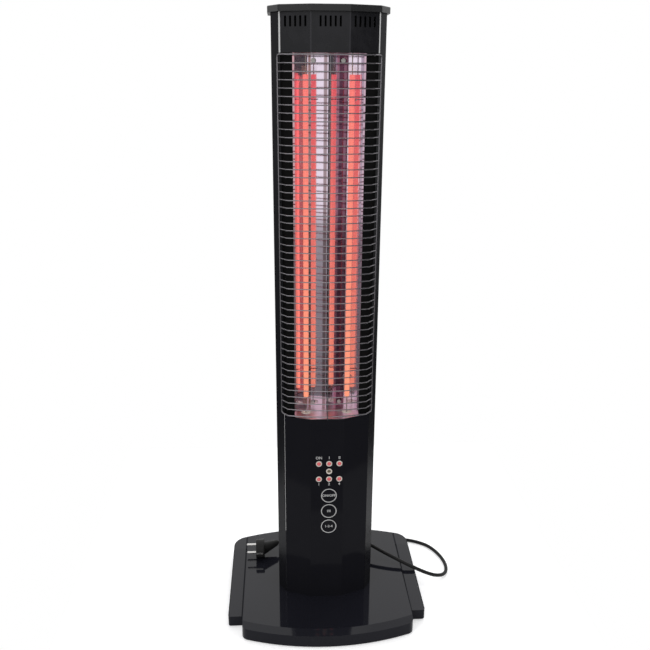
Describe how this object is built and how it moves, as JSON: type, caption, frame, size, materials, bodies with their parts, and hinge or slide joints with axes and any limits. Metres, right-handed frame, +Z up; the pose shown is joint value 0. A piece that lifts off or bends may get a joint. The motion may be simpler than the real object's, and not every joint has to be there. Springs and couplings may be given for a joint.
{
  "type": "infrared heater tower",
  "caption": "Floor-standing infrared heater tower: two quartz tubes in a polished reflector behind a wire guard, keys and lamps below, wide weighted base, mains cord.",
  "frame": {"origin": "on the floor under the middle of the base", "axes": "+Z up the tower, +X to the right seen from the front, +Y to the back; the heater faces -Y"},
  "size_m": [0.4491, 0.3383, 1.079],
  "materials": {
    "base_plastic": "glossy dark grey moulding",
    "bottom_plastic": "textured black moulding",
    "steel_plate": "raw plate",
    "foot_rubber": "matt black rubber",
    "screw_steel": "zinc-plated",
    "black_screw": "blackened",
    "bracket_steel": "zinc-plated sheet",
    "switch_plastic": "black nylon",
    "plunger_plastic": "natural acetal",
    "spring_steel": "drawn wire",
    "profile_paint": "dark grey powder coat on an aluminium profile",
    "fascia_gloss": "gloss black",
    "cap_plastic": "satin black moulding",
    "back_sheet": "black powder coat on sheet steel",
    "back_plastic": "fine-textured black moulding",
    "panel_gloss": "gloss black",
    "strip_black": "heat-proof black",
    "reflector_mirror": "polished",
    "plate_mirror": "polished",
    "shield_steel": "galvanised sheet",
    "cutout_plastic": "phenolic housing",
    "spacer_steel": "turned steel",
    "quartz_glass": "clear quartz",
    "filament_glow": "glowing wire",
    "lead_wire": "nickel wire",
    "ceramic": "white steatite",
    "guard_paint": "plated wire",
    "bezel_white": "white ring",
    "lamp_lens": "tinted lens",
    "receiver_lens": "dark tinted lens",
    "button_gloss": "gloss black",
    "board_green": "glass-fibre board",
    "post_plastic": "black nylon",
    "relay_plastic": "blue housing",
    "capacitor_sleeve": "shrink sleeve",
    "terminal_plastic": "green housing",
    "wire_cover": "glass-fibre sleeving",
    "rocker_housing": "black nylon",
    "rocker_plastic": "red",
    "cord_rubber": "black rubber sheath",
    "plug_rubber": "moulded black rubber",
    "pin_metal": "nickel-plated brass"
  },
  "bodies": {
    "heater": {"base_cover": "base_plastic", "base_bottom_cover": "bottom_plastic", "ballast_plate": "steel_plate", "rubber_feet": "foot_rubber", "base_screws": "screw_steel", "column_bracket": "bracket_steel", "column_bolts": "screw_steel", "tip_switch_housing": "switch_plastic", "tip_spring": "spring_steel", "side_profile_left": "profile_paint", "side_profile_right": "profile_paint", "head_fascia": "fascia_gloss", "top_cap": "cap_plastic", "upper_back_panel": "back_sheet", "lower_back_cover": "back_plastic", "lower_front_panel": "panel_gloss", "blanking_strip_left": "strip_black", "blanking_strip_right": "strip_black", "reflector": "reflector_mirror", "reflector_floor_plate": "plate_mirror", "reflector_top_plate": "plate_mirror", "heat_shield": "shield_steel", "thermal_cutout": "cutout_plastic", "reflector_screws": "screw_steel", "reflector_spacers": "spacer_steel", "quartz_tube_left": "quartz_glass", "quartz_tube_right": "quartz_glass", "filament_left": "filament_glow", "filament_right": "filament_glow", "tube_leads": "lead_wire", "ceramic_terminals": "ceramic", "tube_clips": "spring_steel", "guard": "guard_paint", "lamp_bezels": "bezel_white", "status_lamps": "lamp_lens", "infrared_receiver": "receiver_lens", "key_switches": "switch_plastic", "control_board": "board_green", "board_posts": "post_plastic", "board_screws": "screw_steel", "case_screws": "black_screw", "power_board": "board_green", "power_board_posts": "post_plastic", "relays": "relay_plastic", "capacitor": "capacitor_sleeve", "terminal_block": "terminal_plastic", "internal_wires": "wire_cover", "mains_switch_body": "rocker_housing", "strain_relief": "cord_rubber", "cord_run": "cord_rubber", "cord_tail": "cord_rubber", "cord_coil": "cord_rubber", "plug_body": "plug_rubber", "plug_pins": "pin_metal", "plug_earth_clips": "pin_metal"},
    "power_button": {"button_power": "button_gloss"},
    "level_button": {"button_level": "button_gloss"},
    "timer_button": {"button_timer": "button_gloss"},
    "switch_rocker": {"mains_rocker": "rocker_plastic"},
    "tip_over_plunger": {"tip_plunger": "plunger_plastic"}
  },
  "joints": [
    {"name": "power_button_press", "type": "slide", "parent": "heater", "child": "power_button", "axis": [0, 1, 0], "range_m": [0, 0.0008], "stiffness_N_per_m": 400, "springref_m": -0.0006},
    {"name": "level_button_press", "type": "slide", "parent": "heater", "child": "level_button", "axis": [0, 1, 0], "range_m": [0, 0.0008], "stiffness_N_per_m": 400, "springref_m": -0.0006},
    {"name": "timer_button_press", "type": "slide", "parent": "heater", "child": "timer_button", "axis": [0, 1, 0], "range_m": [0, 0.0008], "stiffness_N_per_m": 400, "springref_m": -0.0006},
    {"name": "switch_rocker_tilt", "type": "hinge", "parent": "heater", "child": "switch_rocker", "pos_m": [0.046, 0.047, 0.128], "axis": [1, 0, 0], "range_deg": [0, 22]},
    {"name": "tip_over_plunger_slide", "type": "slide", "parent": "heater", "child": "tip_over_plunger", "axis": [0, 0, -1], "range_m": [0, 0.005], "stiffness_N_per_m": 100, "springref_m": 0.007, "deforming": ["tip_spring"]}
  ]
}
